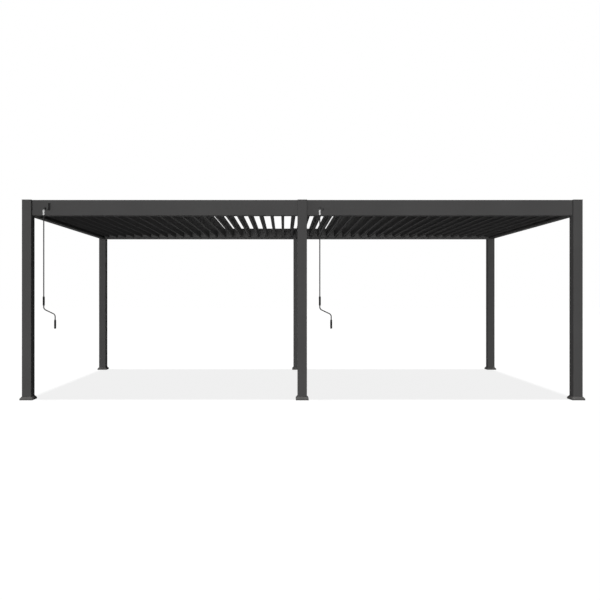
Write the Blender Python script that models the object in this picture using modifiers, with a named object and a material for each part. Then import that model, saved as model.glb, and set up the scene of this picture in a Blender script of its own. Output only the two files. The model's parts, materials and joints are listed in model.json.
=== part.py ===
"""A free-standing double-bay pergola in powder-coated aluminium with a roof of turning louvers.

Six square posts on foot shoes carry a ring of gutter beams and a low beam between the bays.
Each bay's louvers turn together on end pins seated in the front and rear beams, and a hand
crank that hangs in front of the bay turns them. Metres, +Z up, +X to the right, and the front
looks along -Y. The origin is on the ground, under the middle of the roof.
"""

import math

import bmesh
import bpy
from mathutils import Matrix, Vector

# Posts, their shoes and their caps
POST_SIZE = 0.120
POST_SPACING_X = 3.540
POST_SPACING_Y = 3.480
POST_EDGE_RADIUS = 0.003
SHOE_PROUD = 0.022
SHOE_RIM_HEIGHT = 0.020
SHOE_HEIGHT = 0.045
SHOE_COLLAR = 0.002
CAP_PROUD = 0.0015
CAP_HEIGHT = 0.0035
CAP_OVER_BEAM = 0.0005

# Beams: the height of their undersides over the ground, and their sections
BEAM_BOTTOM = 2.378
BEAM_HEIGHT = 0.191
BEAM_SETBACK = 0.035
SIDE_BEAM_WALL = 0.040
GUTTER_WIDTH = 0.035
GUTTER_HEIGHT = 0.020
GUTTER_WALL = 0.004
CENTRE_BEAM_WIDTH = 0.050
CENTRE_BEAM_UNDER_PIVOT = 0.0575
CENTRE_GUTTER_DEPTH = 0.030

# Louvers: a section whose lip laps over the next blade's shelf, pinned at both ends
LOUVER_PITCH = 0.1515
LOUVER_LAP = 0.0065
LOUVER_THICKNESS = 0.038
LOUVER_CROWN = 0.002
LIP_THICKNESS = 0.012
LIP_CLEARANCE = 0.0065
SHELF_THICKNESS = 0.006
SHELF_CLEARANCE = 0.0065
EDGE_ROUNDING = 0.002
LOUVER_REST_ANGLE = 92.3
LOUVER_END_GAP = 0.006
LOUVER_GUTTER_CLEARANCE = 0.008
LOUVER_SIDE_CLEARANCE = 0.005
LEFT_LAP_OVER_CENTRE = 0.0025
RIGHT_LAP_OVER_CENTRE = 0.0134
PIN_RADIUS = 0.005
PIN_SEAT_DEPTH = 0.016

# Hand cranks, hung from a bracket on the front beam
CRANK_AXIS_FROM_BEAM = 0.041
CRANK_POST_CLEARANCE = 0.006
CRANK_ROD_RADIUS = 0.0072
CRANK_THROW = 0.146
CRANK_BEND_DROP = 0.070
CRANK_BEND_RADIUS = 0.042
ROD_KNUCKLE_TO_GRIP = 1.039
ROD_GRIP_TO_BEND = 0.045
ROD_BEND_TO_GRIP = 0.067
ROD_SHORT_OF_GRIP_END = 0.008
UPPER_GRIP_LENGTH = 0.117
LOWER_GRIP_LENGTH = 0.114
GRIP_WALL = 0.0053
GRIP_END_WALL = 0.0016
GRIP_END_TAPER = 0.005
KNUCKLE_LENGTH = 0.0787
KNUCKLE_WALL = 0.0058
KNUCKLE_WAIST_WALL = 0.0045
KNUCKLE_END_WALL = 0.0019
KNUCKLE_END_TAPER = 0.012
SPINDLE_RADIUS = 0.0055
SPINDLE_LENGTH = 0.015
BRACKET_OVER_BEAM_FOOT = 0.070
BRACKET_PLATE_WIDTH = 0.054
BRACKET_PLATE_HEIGHT = 0.026
BRACKET_PLATE_THICKNESS = 0.006
BRACKET_PLATE_DROP = 0.009
BRACKET_NOSE_RADIUS = 0.0155
BRACKET_NOSE_HEIGHT = 0.018
BRACKET_ARM_INSET = 0.002
LATCH_WIDTH = 0.016
LATCH_THICKNESS = 0.008
LATCH_ARM_HEIGHT = 0.012
LATCH_ARM_RISE = 0.001
LEFT_LATCH_FROM_AXIS = 0.062
LEFT_LATCH_HEIGHT = 0.092
RIGHT_LATCH_FROM_AXIS = 0.047
RIGHT_LATCH_HEIGHT = 0.026

# Clearances, and how far fused shapes run into each other
SEAT_GAP = 0.0003
SEAT_RADIAL_CLEARANCE = 0.00045
FUSE_DEPTH = 0.001
WELD_DISTANCE = 0.00001

# Sides of the round pieces, and steps of a bend in the rod
PIN_SIDES = 12
ROUND_SIDES = 16
BEND_STEPS = 5

# Worked out from the driving sizes
BEAM_TOP = BEAM_BOTTOM + BEAM_HEIGHT
POST_HEIGHT = BEAM_TOP + FUSE_DEPTH + CAP_OVER_BEAM
HALF_SPAN_Y = POST_SPACING_Y / 2
POST_INNER_Y = HALF_SPAN_Y - POST_SIZE / 2
POST_OUTER_Y = HALF_SPAN_Y + POST_SIZE / 2
BEAM_OUTER_Y = POST_OUTER_Y - BEAM_SETBACK
BEAM_OUTER_X = POST_SPACING_X + POST_SIZE / 2 - BEAM_SETBACK
BEAM_LENGTH_X = POST_SPACING_X - POST_SIZE - 2 * SEAT_GAP
BEAM_LENGTH_Y = 2 * (POST_INNER_Y - SEAT_GAP)

LOUVER_CHORD = LOUVER_PITCH + LOUVER_LAP
LOUVER_REACH = math.hypot(LOUVER_CHORD / 2, LOUVER_THICKNESS / 2)
LOUVER_PIVOT_HEIGHT = BEAM_BOTTOM + GUTTER_HEIGHT + LOUVER_GUTTER_CLEARANCE + LOUVER_CHORD / 2
LOUVER_LENGTH = 2 * (POST_INNER_Y - LOUVER_END_GAP)
LAST_LOUVER_LIMIT = BEAM_OUTER_X - SIDE_BEAM_WALL - LOUVER_SIDE_CLEARANCE - LOUVER_REACH
FIRST_LOUVER_LEFT = CENTRE_BEAM_WIDTH / 2 - LEFT_LAP_OVER_CENTRE + LOUVER_CHORD / 2
FIRST_LOUVER_RIGHT = CENTRE_BEAM_WIDTH / 2 - RIGHT_LAP_OVER_CENTRE + LOUVER_CHORD / 2
CENTRE_BEAM_TOP = LOUVER_PIVOT_HEIGHT - CENTRE_BEAM_UNDER_PIVOT
PIN_SPAN = 2 * (POST_INNER_Y + PIN_SEAT_DEPTH - SEAT_GAP)

GRIP_RADIUS = CRANK_ROD_RADIUS + GRIP_WALL
CRANK_FROM_POST = POST_SIZE / 2 + CRANK_POST_CLEARANCE + GRIP_RADIUS + CRANK_THROW
CRANK_Y = -(BEAM_OUTER_Y + CRANK_AXIS_FROM_BEAM)
BRACKET_BOTTOM = BEAM_BOTTOM + BRACKET_OVER_BEAM_FOOT
KNUCKLE_TOP = BRACKET_BOTTOM - SEAT_GAP
KNUCKLE_BOTTOM = KNUCKLE_TOP - KNUCKLE_LENGTH
UPPER_GRIP_TOP = KNUCKLE_BOTTOM - ROD_KNUCKLE_TO_GRIP
UPPER_GRIP_BOTTOM = UPPER_GRIP_TOP - UPPER_GRIP_LENGTH
BEND_TOP = UPPER_GRIP_BOTTOM - ROD_GRIP_TO_BEND
BEND_BOTTOM = BEND_TOP - CRANK_BEND_DROP
LOWER_GRIP_TOP = BEND_BOTTOM - ROD_BEND_TO_GRIP
LOWER_GRIP_BOTTOM = LOWER_GRIP_TOP - LOWER_GRIP_LENGTH

COLLECTION_NAME = "pergola"
CUTTER_COLLECTION_NAME = "cutters"


def clear_scene():
    for obj in list(bpy.data.objects):
        bpy.data.objects.remove(obj)


def new_collection(name):
    collection = bpy.data.collections.new(name)
    bpy.context.scene.collection.children.link(collection)
    return collection


def material(name, colour, roughness, metallic):
    made = bpy.data.materials.new(name)
    made.use_nodes = True
    shader = made.node_tree.nodes["Principled BSDF"]
    shader.inputs["Base Color"].default_value = (*colour, 1.0)
    shader.inputs["Roughness"].default_value = roughness
    shader.inputs["Metallic"].default_value = metallic
    return made


def linked_object(name, data, collection):
    obj = bpy.data.objects.new(name, data)
    collection.objects.link(obj)
    return obj


def evaluated_mesh(obj):
    """The object's shape with its modifiers applied, as a mesh of its own."""
    depsgraph = bpy.context.evaluated_depsgraph_get()
    return bpy.data.meshes.new_from_object(obj.evaluated_get(depsgraph), depsgraph=depsgraph)


def weld(mesh):
    """Closes the seams between coincident points and turns every face outwards."""
    bm = bmesh.new()
    bm.from_mesh(mesh)
    bmesh.ops.remove_doubles(bm, verts=bm.verts, dist=WELD_DISTANCE)
    bmesh.ops.recalc_face_normals(bm, faces=bm.faces)
    bm.to_mesh(mesh)
    bm.free()


def box_mesh(name, size):
    """A box of this size around its own origin."""
    mesh = bpy.data.meshes.new(name)
    bm = bmesh.new()
    bmesh.ops.create_cube(bm, size=1.0, matrix=Matrix.Diagonal((*size, 1.0)))
    bm.to_mesh(mesh)
    bm.free()
    return mesh


def cylinder_mesh(name, radius, length, sides):
    """A cylinder around its own origin, along local Z."""
    mesh = bpy.data.meshes.new(name)
    bm = bmesh.new()
    bmesh.ops.create_cone(
        bm, cap_ends=True, segments=sides, radius1=radius, radius2=radius, depth=length
    )
    bm.to_mesh(mesh)
    bm.free()
    return mesh


def extrusion_mesh(name, outline, length, collection):
    """A flat outline in local XY, drawn out to this length along local Z."""
    curve = bpy.data.curves.new(name, "CURVE")
    curve.dimensions = "2D"
    curve.fill_mode = "BOTH"
    curve.extrude = length / 2
    spline = curve.splines.new("POLY")
    spline.points.add(len(outline) - 1)
    for point, (x, y) in zip(spline.points, outline):
        point.co = (x, y, 0.0, 1.0)
    spline.use_cyclic_u = True
    guide = linked_object(name, curve, collection)
    mesh = evaluated_mesh(guide)
    bpy.data.objects.remove(guide)
    weld(mesh)
    return mesh


def turned_mesh(name, profile, collection):
    """A profile of (radius, height) points, from top to bottom, turned about local Z."""
    mesh = bpy.data.meshes.new(name)
    bm = bmesh.new()
    points = [bm.verts.new((radius, 0.0, height)) for radius, height in profile]
    for upper, lower in zip(points, points[1:]):
        bm.edges.new((upper, lower))
    bm.to_mesh(mesh)
    bm.free()
    guide = linked_object(name, mesh, collection)
    screw = guide.modifiers.new("Turn", "SCREW")
    screw.steps = ROUND_SIDES
    screw.render_steps = ROUND_SIDES
    screw.use_merge_vertices = True
    screw.merge_threshold = WELD_DISTANCE
    turned = evaluated_mesh(guide)
    bpy.data.objects.remove(guide)
    weld(turned)
    return turned


def placed_mesh(mesh, matrix):
    moved = mesh.copy()
    moved.transform(matrix)
    return moved


def combined_mesh(name, base, others, operation, collection):
    """The base mesh with each other mesh united to it or cut from it, one after another."""
    work = linked_object(name, base, collection)
    tools = []
    for mesh in others:
        tool = linked_object(name + "_tool", mesh, collection)
        tool.hide_render = True
        tool.display_type = "WIRE"
        tools.append(tool)
        modifier = work.modifiers.new("Combine", "BOOLEAN")
        modifier.operation = operation
        modifier.solver = "EXACT"
        modifier.object = tool
    result = evaluated_mesh(work)
    bpy.data.objects.remove(work)
    for tool in tools:
        bpy.data.objects.remove(tool)
    return result


def joined_mesh(name, meshes):
    """Several meshes that don't touch, as one mesh."""
    joined = bpy.data.meshes.new(name)
    bm = bmesh.new()
    for mesh in meshes:
        bm.from_mesh(mesh)
    bm.to_mesh(joined)
    bm.free()
    return joined


def shoe_mesh(name):
    """The cover over a post's foot: an upright rim, then four slopes that rise to the column."""
    rim_size = POST_SIZE + 2 * SHOE_PROUD
    top_size = POST_SIZE + 2 * SHOE_COLLAR
    shoe = box_mesh(name, (rim_size, rim_size, SHOE_RIM_HEIGHT))
    bm = bmesh.new()
    bm.from_mesh(shoe)
    bm.normal_update()
    rim_top = [face for face in bm.faces if face.normal.z > 0.5]
    raised = bmesh.ops.extrude_discrete_faces(bm, faces=rim_top)["faces"][0]
    shrink = top_size / rim_size
    rise = SHOE_HEIGHT - SHOE_RIM_HEIGHT
    bmesh.ops.transform(
        bm,
        matrix=Matrix.Translation((0, 0, rise)) @ Matrix.Diagonal((shrink, shrink, 1.0, 1.0)),
        verts=raised.verts,
    )
    bmesh.ops.translate(bm, verts=bm.verts, vec=(0, 0, SHOE_RIM_HEIGHT / 2))
    bm.to_mesh(shoe)
    bm.free()
    return shoe


def post_mesh(name, collection):
    """A square column with its foot shoe and its cap, standing on z = 0."""
    column = box_mesh(name, (POST_SIZE, POST_SIZE, POST_HEIGHT))
    bm = bmesh.new()
    bm.from_mesh(column)
    upright = [e for e in bm.edges if abs(e.verts[0].co.z - e.verts[1].co.z) > POST_HEIGHT / 2]
    bmesh.ops.bevel(
        bm, geom=upright, offset=POST_EDGE_RADIUS, segments=2, profile=0.5, affect="EDGES"
    )
    bmesh.ops.translate(bm, verts=bm.verts, vec=(0, 0, POST_HEIGHT / 2))
    bm.to_mesh(column)
    bm.free()

    cap_size = POST_SIZE + 2 * CAP_PROUD
    cap = placed_mesh(
        box_mesh(name, (cap_size, cap_size, CAP_HEIGHT + FUSE_DEPTH)),
        Matrix.Translation((0, 0, POST_HEIGHT + CAP_HEIGHT / 2 - FUSE_DEPTH / 2)),
    )
    return combined_mesh(name, column, [shoe_mesh(name), cap], "UNION", collection)


def gutter_beam_outline(outer, wall_inner, gutter_inner):
    """The beam's section, as (depth, height) points: a tall wall with a gutter along its inner foot."""
    toward = math.copysign(1.0, gutter_inner - outer)
    gutter_floor = BEAM_BOTTOM + GUTTER_WALL
    gutter_rim = BEAM_BOTTOM + GUTTER_HEIGHT
    return [
        (outer, BEAM_BOTTOM),
        (gutter_inner, BEAM_BOTTOM),
        (gutter_inner, gutter_rim),
        (gutter_inner - toward * GUTTER_WALL, gutter_rim),
        (gutter_inner - toward * GUTTER_WALL, gutter_floor),
        (wall_inner, gutter_floor),
        (wall_inner, BEAM_TOP),
        (outer, BEAM_TOP),
    ]


def louver_positions(first, direction):
    """The pivots of a bay's blades along X: as many as clear the side beam as they turn."""
    count = int((LAST_LOUVER_LIMIT - first) / LOUVER_PITCH) + 1
    return [direction * (first + LOUVER_PITCH * k) for k in range(count)]


def cross_beam_mesh(name, side, bay_centre, pin_positions, collection):
    """A beam along X between two posts, with a row of blind pin seats. side is -1 in front."""
    outline = gutter_beam_outline(
        side * BEAM_OUTER_Y, side * POST_INNER_Y, side * (POST_INNER_Y - GUTTER_WIDTH)
    )
    # local x, y, z become world Y, Z, X
    along_x = Matrix(((0, 0, 1, bay_centre), (1, 0, 0, 0), (0, 1, 0, 0), (0, 0, 0, 1)))
    beam = placed_mesh(extrusion_mesh(name, outline, BEAM_LENGTH_X, collection), along_x)
    seat = cylinder_mesh(name, PIN_RADIUS + SEAT_RADIAL_CLEARANCE, 2 * PIN_SEAT_DEPTH, PIN_SIDES)
    along_y = Matrix.Rotation(math.pi / 2, 4, "X")
    seats = []
    for x in pin_positions:
        place = Matrix.Translation((x, side * POST_INNER_Y, LOUVER_PIVOT_HEIGHT))
        seats.append(placed_mesh(seat, place @ along_y))
    return combined_mesh(name, beam, [joined_mesh(name, seats)], "DIFFERENCE", collection)


def side_beam_mesh(name, side, collection):
    """A beam along Y at one end of the roof."""
    outline = gutter_beam_outline(
        side * BEAM_OUTER_X,
        side * (BEAM_OUTER_X - SIDE_BEAM_WALL),
        side * (POST_SPACING_X - POST_SIZE / 2),
    )
    # local x, y, z become world X, Z, -Y
    along_y = Matrix.Rotation(math.pi / 2, 4, "X")
    return placed_mesh(extrusion_mesh(name, outline, BEAM_LENGTH_Y, collection), along_y)


def centre_frame_mesh(name, post, collection):
    """The two middle posts and the low gutter beam that joins them between the bays."""
    half = CENTRE_BEAM_WIDTH / 2
    gutter_floor = CENTRE_BEAM_TOP - CENTRE_GUTTER_DEPTH
    outline = [
        (-half, BEAM_BOTTOM),
        (half, BEAM_BOTTOM),
        (half, CENTRE_BEAM_TOP),
        (half - GUTTER_WALL, CENTRE_BEAM_TOP),
        (half - GUTTER_WALL, gutter_floor),
        (-half + GUTTER_WALL, gutter_floor),
        (-half + GUTTER_WALL, CENTRE_BEAM_TOP),
        (-half, CENTRE_BEAM_TOP),
    ]
    length = 2 * (POST_INNER_Y + FUSE_DEPTH)
    along_y = Matrix.Rotation(math.pi / 2, 4, "X")
    beam = placed_mesh(extrusion_mesh(name, outline, length, collection), along_y)
    posts = [
        placed_mesh(post, Matrix.Translation((0, y, 0))) for y in (-HALF_SPAN_Y, HALF_SPAN_Y)
    ]
    return combined_mesh(name, beam, posts, "UNION", collection)


def louver_outline():
    """The blade's section when it lies closed: an upper lip on its right edge, a shelf on its left."""
    edge = LOUVER_CHORD / 2
    top = LOUVER_THICKNESS / 2
    lip_inner = edge - LOUVER_LAP - LIP_CLEARANCE
    lip_bottom = top - LIP_THICKNESS
    shelf_inner = -edge + LOUVER_LAP + SHELF_CLEARANCE
    shelf_top = -top + SHELF_THICKNESS
    # a shallow arch between the two edges, three quarters of its height at the quarter points
    quarter_height = top + LOUVER_CROWN * 3 / 4
    return [
        (edge - EDGE_ROUNDING, top),
        (edge, top - EDGE_ROUNDING),
        (edge, lip_bottom + EDGE_ROUNDING),
        (edge - EDGE_ROUNDING, lip_bottom),
        (lip_inner, lip_bottom),
        (lip_inner, -top + EDGE_ROUNDING),
        (lip_inner - EDGE_ROUNDING, -top),
        (-edge + EDGE_ROUNDING, -top),
        (-edge, -top + EDGE_ROUNDING),
        (-edge, shelf_top - EDGE_ROUNDING),
        (-edge + EDGE_ROUNDING, shelf_top),
        (shelf_inner, shelf_top),
        (shelf_inner, top - EDGE_ROUNDING),
        (shelf_inner + EDGE_ROUNDING, top),
        (-edge / 2, quarter_height),
        (0.0, top + LOUVER_CROWN),
        (edge / 2, quarter_height),
    ]


def louver_mesh(name, collection):
    """One blade along local Z with a round pin at each end, on the axis it turns about."""
    blade = extrusion_mesh(name, louver_outline(), LOUVER_LENGTH, collection)
    pin = cylinder_mesh(name, PIN_RADIUS, PIN_SPAN, PIN_SIDES)
    return combined_mesh(name, blade, [pin], "UNION", collection)


def bracket_meshes(name, axis_x, latch_from_axis, latch_height):
    """What holds a crank's spindle: a plate on the beam, an arm with a round nose, and a latch."""
    face = -BEAM_OUTER_Y
    plate_foot = BRACKET_BOTTOM - BRACKET_PLATE_DROP
    nose_middle = BRACKET_BOTTOM + BRACKET_NOSE_HEIGHT / 2

    def on_beam(x, width, foot, height, thickness):
        """A block on the beam's front face, run into it by the fuse depth."""
        depth = thickness + FUSE_DEPTH
        place = (x, face + FUSE_DEPTH - depth / 2, foot + height / 2)
        return placed_mesh(box_mesh(name, (width, depth, height)), Matrix.Translation(place))

    plate = on_beam(
        axis_x, BRACKET_PLATE_WIDTH, plate_foot, BRACKET_PLATE_HEIGHT, BRACKET_PLATE_THICKNESS
    )
    arm = on_beam(
        axis_x,
        2 * (BRACKET_NOSE_RADIUS - BRACKET_ARM_INSET),
        BRACKET_BOTTOM + BRACKET_ARM_INSET,
        BRACKET_NOSE_HEIGHT - 2 * BRACKET_ARM_INSET,
        CRANK_AXIS_FROM_BEAM,
    )
    nose = placed_mesh(
        cylinder_mesh(name, BRACKET_NOSE_RADIUS, BRACKET_NOSE_HEIGHT, ROUND_SIDES),
        Matrix.Translation((axis_x, CRANK_Y, nose_middle)),
    )
    latch = on_beam(
        axis_x + latch_from_axis, LATCH_WIDTH, plate_foot, latch_height, LATCH_THICKNESS
    )
    link_start = BRACKET_PLATE_WIDTH / 2 - FUSE_DEPTH
    link = on_beam(
        axis_x + (link_start + latch_from_axis) / 2,
        latch_from_axis - link_start,
        plate_foot + LATCH_ARM_RISE,
        LATCH_ARM_HEIGHT,
        BRACKET_PLATE_THICKNESS - LATCH_ARM_RISE,
    )
    return [plate, arm, nose, latch, link]


def front_beam_mesh(name, bay_centre, pin_positions, crank_x, latch, collection):
    """The front beam of a bay, with the crank's bracket fixed to its face."""
    beam = cross_beam_mesh(name, -1, bay_centre, pin_positions, collection)
    bracket = bracket_meshes(name, crank_x, *latch)
    whole = combined_mesh(name, beam, bracket, "UNION", collection)
    socket_length = 2 * (SPINDLE_LENGTH + SEAT_GAP)
    socket = placed_mesh(
        cylinder_mesh(name, SPINDLE_RADIUS + SEAT_RADIAL_CLEARANCE, socket_length, ROUND_SIDES),
        Matrix.Translation((crank_x, CRANK_Y, BRACKET_BOTTOM)),
    )
    return combined_mesh(name, whole, [socket], "DIFFERENCE", collection)


def fillet_points(before, corner, after, radius, steps):
    """The points of an arc of this radius that rounds the corner between its two neighbours."""
    back = (before - corner).normalized()
    on = (after - corner).normalized()
    half_angle = back.angle(on) / 2
    reach = radius / math.tan(half_angle)
    centre = corner + (back + on).normalized() * radius / math.sin(half_angle)
    start = corner + back * reach - centre
    end = corner + on * reach - centre
    spokes = [start.lerp(end, step / steps).normalized() for step in range(steps + 1)]
    return [centre + spoke * radius for spoke in spokes]


def crank_path():
    """The centre line of the crank's rod below the knuckle, in its own XZ plane, bends rounded."""
    corners = [
        Vector((0.0, KNUCKLE_BOTTOM + FUSE_DEPTH)),
        Vector((0.0, BEND_TOP)),
        Vector((CRANK_THROW, BEND_BOTTOM)),
        Vector((CRANK_THROW, LOWER_GRIP_BOTTOM + ROD_SHORT_OF_GRIP_END)),
    ]
    path = [corners[0]]
    for before, corner, after in zip(corners, corners[1:], corners[2:]):
        path += fillet_points(before, corner, after, CRANK_BEND_RADIUS, BEND_STEPS)
    path.append(corners[-1])
    return path


def rod_mesh(name, path, radius, collection):
    """A round rod along a path in the XZ plane, closed at both ends."""
    curve = bpy.data.curves.new(name, "CURVE")
    curve.dimensions = "3D"
    curve.bevel_depth = radius
    curve.bevel_resolution = 2
    curve.use_fill_caps = True
    spline = curve.splines.new("POLY")
    spline.points.add(len(path) - 1)
    for point, (x, z) in zip(spline.points, path):
        point.co = (x, 0.0, z, 1.0)
    guide = linked_object(name, curve, collection)
    mesh = evaluated_mesh(guide)
    bpy.data.objects.remove(guide)
    weld(mesh)
    return mesh


def grip_mesh(name, top, length, collection):
    """A turned sleeve around the crank's rod, with tapered ends."""
    bottom = top - length
    end_radius = CRANK_ROD_RADIUS + GRIP_END_WALL
    profile = [
        (0.0, top),
        (end_radius, top),
        (GRIP_RADIUS, top - GRIP_END_TAPER),
        (GRIP_RADIUS, bottom + GRIP_END_TAPER),
        (end_radius, bottom),
        (0.0, bottom),
    ]
    return turned_mesh(name, profile, collection)


def knuckle_mesh(name, collection):
    """The joint under the bracket: two rounded halves that meet at a waist."""
    end_radius = CRANK_ROD_RADIUS + KNUCKLE_END_WALL
    radius = CRANK_ROD_RADIUS + KNUCKLE_WALL
    waist = CRANK_ROD_RADIUS + KNUCKLE_WAIST_WALL
    profile = [
        (0.0, KNUCKLE_TOP),
        (end_radius, KNUCKLE_TOP),
        (radius, KNUCKLE_TOP - KNUCKLE_END_TAPER),
        (waist, (KNUCKLE_TOP + KNUCKLE_BOTTOM) / 2),
        (radius, KNUCKLE_BOTTOM + KNUCKLE_END_TAPER),
        (end_radius, KNUCKLE_BOTTOM),
        (0.0, KNUCKLE_BOTTOM),
    ]
    return turned_mesh(name, profile, collection)


def crank_mesh(name, collection):
    """The whole crank about its own vertical axis: spindle, knuckle, bent rod and two grips."""
    rod = rod_mesh(name, crank_path(), CRANK_ROD_RADIUS, collection)
    knuckle = knuckle_mesh(name, collection)
    spindle = placed_mesh(
        cylinder_mesh(name, SPINDLE_RADIUS, SPINDLE_LENGTH + FUSE_DEPTH, ROUND_SIDES),
        Matrix.Translation((0, 0, KNUCKLE_TOP + SPINDLE_LENGTH / 2 - FUSE_DEPTH / 2)),
    )
    upper_grip = grip_mesh(name, UPPER_GRIP_TOP, UPPER_GRIP_LENGTH, collection)
    lower_grip = placed_mesh(
        grip_mesh(name, LOWER_GRIP_TOP, LOWER_GRIP_LENGTH, collection),
        Matrix.Translation((CRANK_THROW, 0, 0)),
    )
    return combined_mesh(name, rod, [knuckle, spindle, upper_grip, lower_grip], "UNION", collection)


def add_part(name, mesh, finish, collection, location=(0, 0, 0), rotation=(0, 0, 0)):
    mesh.materials.clear()
    mesh.materials.append(finish)
    obj = linked_object(name, mesh, collection)
    obj.location = location
    obj.rotation_euler = rotation
    mesh.shade_smooth()
    mesh.set_sharp_from_angle(angle=math.radians(30))
    return obj


def build():
    clear_scene()
    parts = new_collection(COLLECTION_NAME)
    cutters = new_collection(CUTTER_COLLECTION_NAME)
    frame_finish = material("frame_powder_coat", (0.065, 0.067, 0.070), 0.55, 0.3)
    louver_finish = material("louver_powder_coat", (0.060, 0.062, 0.065), 0.55, 0.3)
    crank_finish = material("crank_metal", (0.30, 0.30, 0.31), 0.45, 0.6)

    post = post_mesh("post", cutters)
    for x, x_name in ((-POST_SPACING_X, "left"), (POST_SPACING_X, "right")):
        for y, y_name in ((-HALF_SPAN_Y, "front"), (HALF_SPAN_Y, "rear")):
            add_part(f"post_{y_name}_{x_name}", post, frame_finish, parts, location=(x, y, 0))
    centre_frame = centre_frame_mesh("centre_frame", post, cutters)
    add_part("centre_frame", centre_frame, frame_finish, parts)

    louver = louver_mesh("louver", cutters)
    left_latch = (LEFT_LATCH_FROM_AXIS, LEFT_LATCH_HEIGHT)
    right_latch = (RIGHT_LATCH_FROM_AXIS, RIGHT_LATCH_HEIGHT)
    bays = (
        ("left", -1, FIRST_LOUVER_LEFT, left_latch),
        ("right", 1, FIRST_LOUVER_RIGHT, right_latch),
    )
    for bay_name, direction, first, latch in bays:
        bay_centre = direction * POST_SPACING_X / 2
        places = louver_positions(first, direction)
        crank_x = bay_centre - POST_SPACING_X / 2 + CRANK_FROM_POST
        front = front_beam_mesh("front_beam", bay_centre, places, crank_x, latch, cutters)
        add_part(f"front_beam_{bay_name}", front, frame_finish, parts)
        rear = cross_beam_mesh("rear_beam", 1, bay_centre, places, cutters)
        add_part(f"rear_beam_{bay_name}", rear, frame_finish, parts)
        side = side_beam_mesh("side_beam", direction, cutters)
        add_part(f"side_beam_{bay_name}", side, frame_finish, parts)
        for number, x in enumerate(places, start=1):
            add_part(
                f"louver_{bay_name}_{number:02d}",
                louver,
                louver_finish,
                parts,
                location=(x, 0, LOUVER_PIVOT_HEIGHT),
                rotation=(math.pi / 2, -math.radians(LOUVER_REST_ANGLE), 0),
            )
        crank = crank_mesh("crank", cutters)
        add_part(f"crank_{bay_name}", crank, crank_finish, parts, location=(crank_x, CRANK_Y, 0))


build()
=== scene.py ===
# %% [markdown]
# # A louvered pergola, finished and photographed
#
# The real thing is an aluminium kit: six square posts, a ring of gutter beams, and forty-six
# blades that lie side by side as a roof and turn when one of two hand cranks is wound. Its solid
# parts are ready-made, each at its real size. This lesson gives every surface its finish, adds
# the small parts that are made of something else, and sets up the picture.
#
# The solids come first. Each is an object at the origin whose mesh already holds its place in
# metres, with +Z up and the front towards -Y, so all of them are in place at once.

# %% Bring in the solid parts
import json
import math

import bmesh
import bpy
from mathutils import Matrix, Vector


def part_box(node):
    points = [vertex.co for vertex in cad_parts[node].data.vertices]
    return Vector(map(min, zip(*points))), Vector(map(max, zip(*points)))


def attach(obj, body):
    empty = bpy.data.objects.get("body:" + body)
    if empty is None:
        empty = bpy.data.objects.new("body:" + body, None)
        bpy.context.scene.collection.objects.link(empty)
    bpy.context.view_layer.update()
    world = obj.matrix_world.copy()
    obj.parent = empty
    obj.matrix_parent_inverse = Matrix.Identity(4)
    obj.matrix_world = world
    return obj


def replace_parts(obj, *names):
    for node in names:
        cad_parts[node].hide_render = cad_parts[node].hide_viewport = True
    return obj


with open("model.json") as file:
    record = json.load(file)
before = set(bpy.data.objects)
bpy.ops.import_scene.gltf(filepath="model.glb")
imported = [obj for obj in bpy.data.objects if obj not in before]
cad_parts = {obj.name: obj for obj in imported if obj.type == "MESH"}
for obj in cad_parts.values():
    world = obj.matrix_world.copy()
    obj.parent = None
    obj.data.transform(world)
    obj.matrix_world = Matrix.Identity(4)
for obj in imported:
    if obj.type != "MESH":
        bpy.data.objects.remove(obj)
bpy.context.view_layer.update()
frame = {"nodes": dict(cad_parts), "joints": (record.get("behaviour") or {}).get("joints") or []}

nodes = frame["nodes"]
joints = {joint["name"]: joint for joint in frame["joints"]}
BAYS = ("left", "right")

# %% [markdown]
# ## What the solids can tell
#
# Many sizes are needed again and again, such as where the blades turn or how far the beam's
# front face lies from the middle. They could be typed in a second time, but then the two files
# could disagree. It is safer to measure them on the solids: a node's box gives its corners, and
# a joint gives the axis that it turns about. Only what a box can't tell, such as how high the
# crank's sleeves sit, is typed in where it is needed.

# %% Measure the frame
blade_names = {bay: sorted(n for n in nodes if n.startswith(f"louver_{bay}_")) for bay in BAYS}
blade_pivots = {
    name: Vector(joints[name + "_tilt"]["pos_m"]) for bay in BAYS for name in blade_names[bay]
}
crank_axes = {bay: Vector(joints[f"crank_{bay}_turn"]["pos_m"]) for bay in BAYS}

beam_low, beam_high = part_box("rear_beam_left")
gutter_low, gutter_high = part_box("side_beam_left")
post_low, post_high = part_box("post_front_left")
beam_foot = beam_low.z
beam_face_y = -beam_high.y
post_middle = (post_low + post_high) / 2
print("blades turn", round(blade_pivots["louver_left_01"].z, 4), "m up")
print("front face of the beams at y", round(beam_face_y, 4))

# %% [markdown]
# ## The camera
#
# The picture is taken straight on and at chest height, so every upright stays upright and the
# roof's lines run to one vanishing point. A tilted camera would make the posts lean. The frame
# is moved sideways with the lens shift instead, as an architect's camera does.

# %% Set up the camera
CAMERA_PLACE = Vector((-0.238, -10.12, 1.323))
FOCAL_LENGTH_MM = 38.9
SENSOR_MM = 36.0
LENS_SHIFT = (0.0271, -0.005)

camera_data = bpy.data.cameras.new("camera")
camera_data.lens = FOCAL_LENGTH_MM
camera_data.sensor_width = SENSOR_MM
camera_data.shift_x, camera_data.shift_y = LENS_SHIFT
camera = bpy.data.objects.new("camera", camera_data)
camera.location = CAMERA_PLACE
camera.rotation_euler = (math.radians(90), 0, 0)
bpy.context.scene.collection.objects.link(camera)
bpy.context.scene.camera = camera
bpy.context.scene.view_settings.view_transform = "Standard"
print("camera", round(beam_face_y - CAMERA_PLACE.y, 2), "m in front of the beam")

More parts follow.
